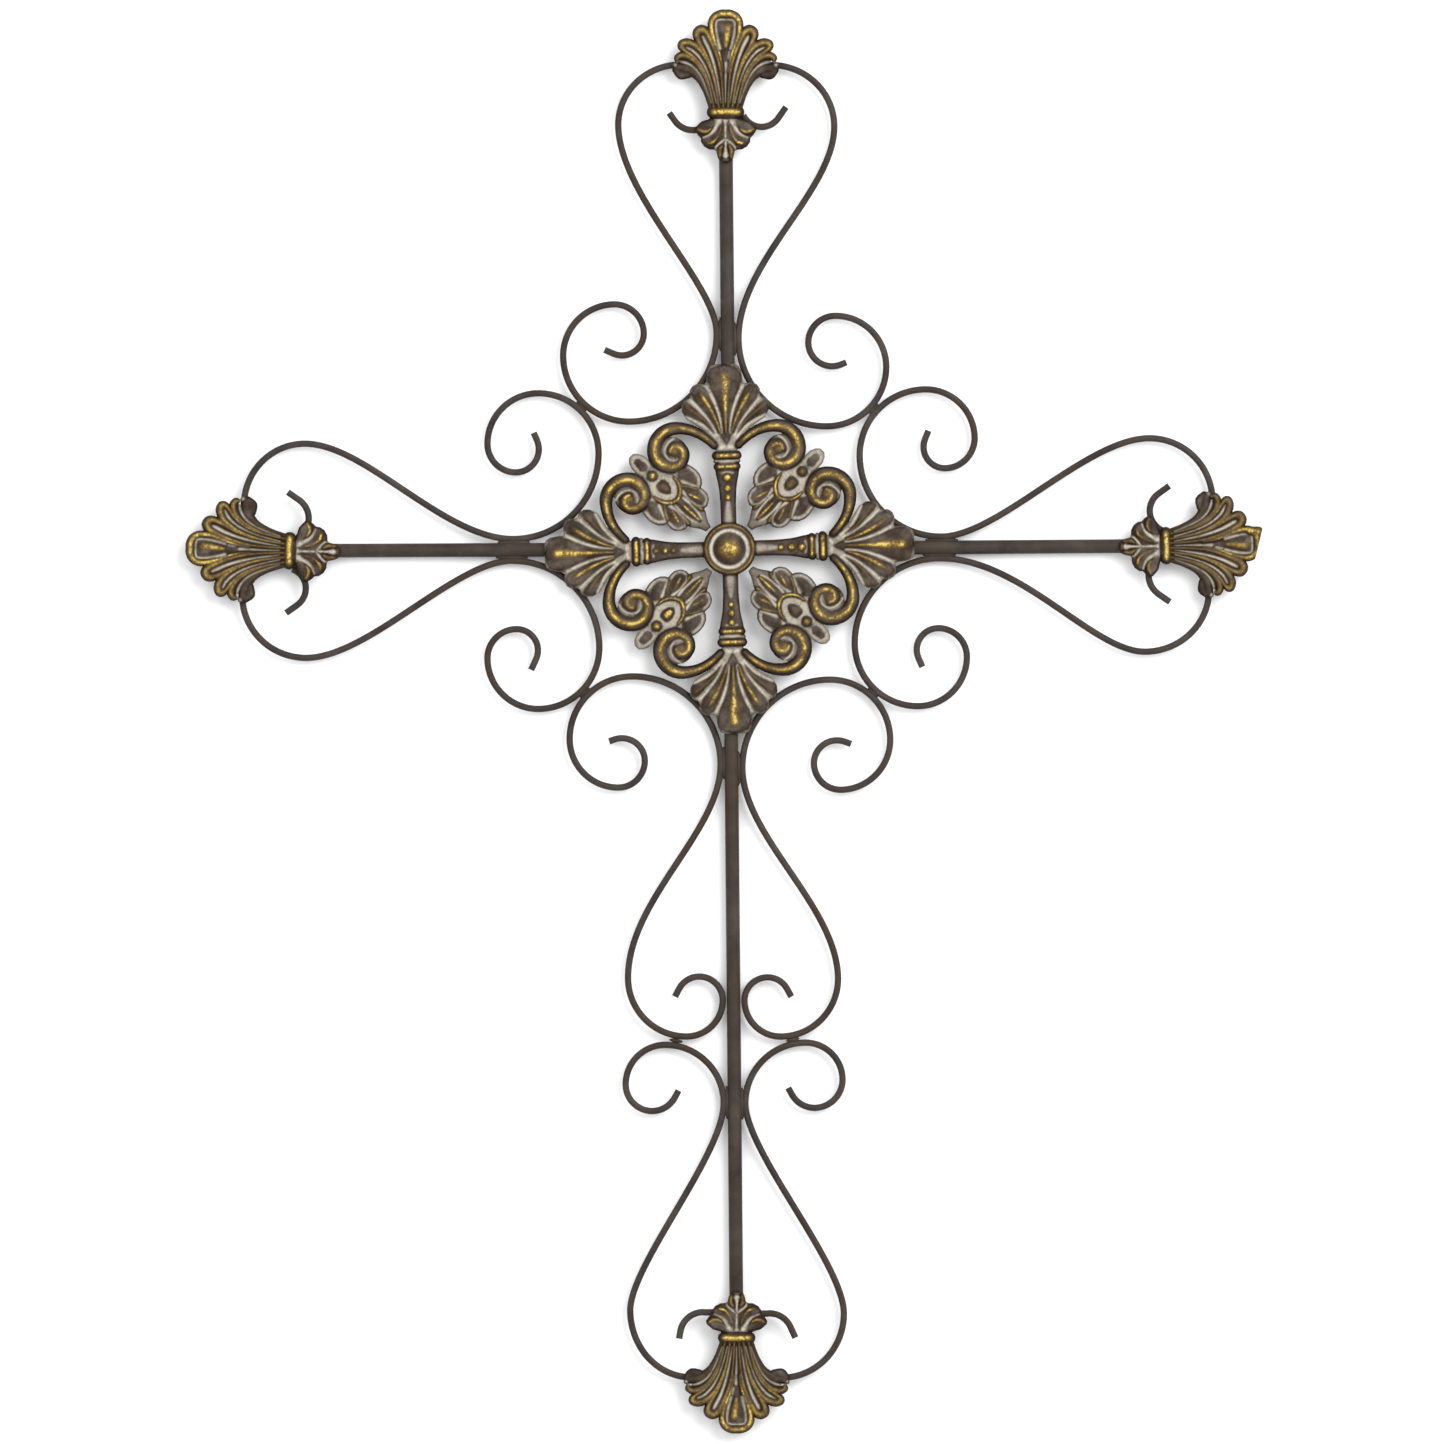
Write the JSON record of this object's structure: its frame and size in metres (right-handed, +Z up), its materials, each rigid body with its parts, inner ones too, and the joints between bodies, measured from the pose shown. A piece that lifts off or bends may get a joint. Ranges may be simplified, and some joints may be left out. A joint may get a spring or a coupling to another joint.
{
  "type": "wall_cross",
  "caption": "Metal wall cross: dark bronze bars and scroll rods with gold-rubbed palmette finials and an openwork centre medallion",
  "frame": {"origin": "hanger plate's back face, on the wall", "axes": "+Z up, +X right seen from the front, the front faces -Y and the wall is at +Y"},
  "size_m": [0.7097, 0.0212, 0.9391],
  "materials": {
    "rod_metal": "matt dark bronze paint over steel, faintly mottled",
    "cast_metal": "dark bronze paint with gold rubbed on the high parts and a pale grey wash in the grooves"
  },
  "bodies": {
    "root": {"vertical_bar": "rod_metal", "crossbar_left": "rod_metal", "crossbar_right": "rod_metal", "scroll_bottom_lower_left": "rod_metal", "scroll_bottom_lower_right": "rod_metal", "scroll_bottom_upper_left": "rod_metal", "scroll_bottom_upper_right": "rod_metal", "scroll_left_lower": "rod_metal", "scroll_left_upper": "rod_metal", "scroll_right_lower": "rod_metal", "scroll_right_upper": "rod_metal", "scroll_top_left": "rod_metal", "scroll_top_right": "rod_metal", "hook_bottom_left": "rod_metal", "hook_bottom_right": "rod_metal", "hook_left_lower": "rod_metal", "hook_left_upper": "rod_metal", "hook_right_lower": "rod_metal", "hook_right_upper": "rod_metal", "hook_top_left": "rod_metal", "hook_top_right": "rod_metal", "finial_bottom": "cast_metal", "finial_left": "cast_metal", "finial_right": "cast_metal", "finial_top": "cast_metal", "medallion": "cast_metal", "hanger_plate": "rod_metal"}
  },
  "joints": []
}
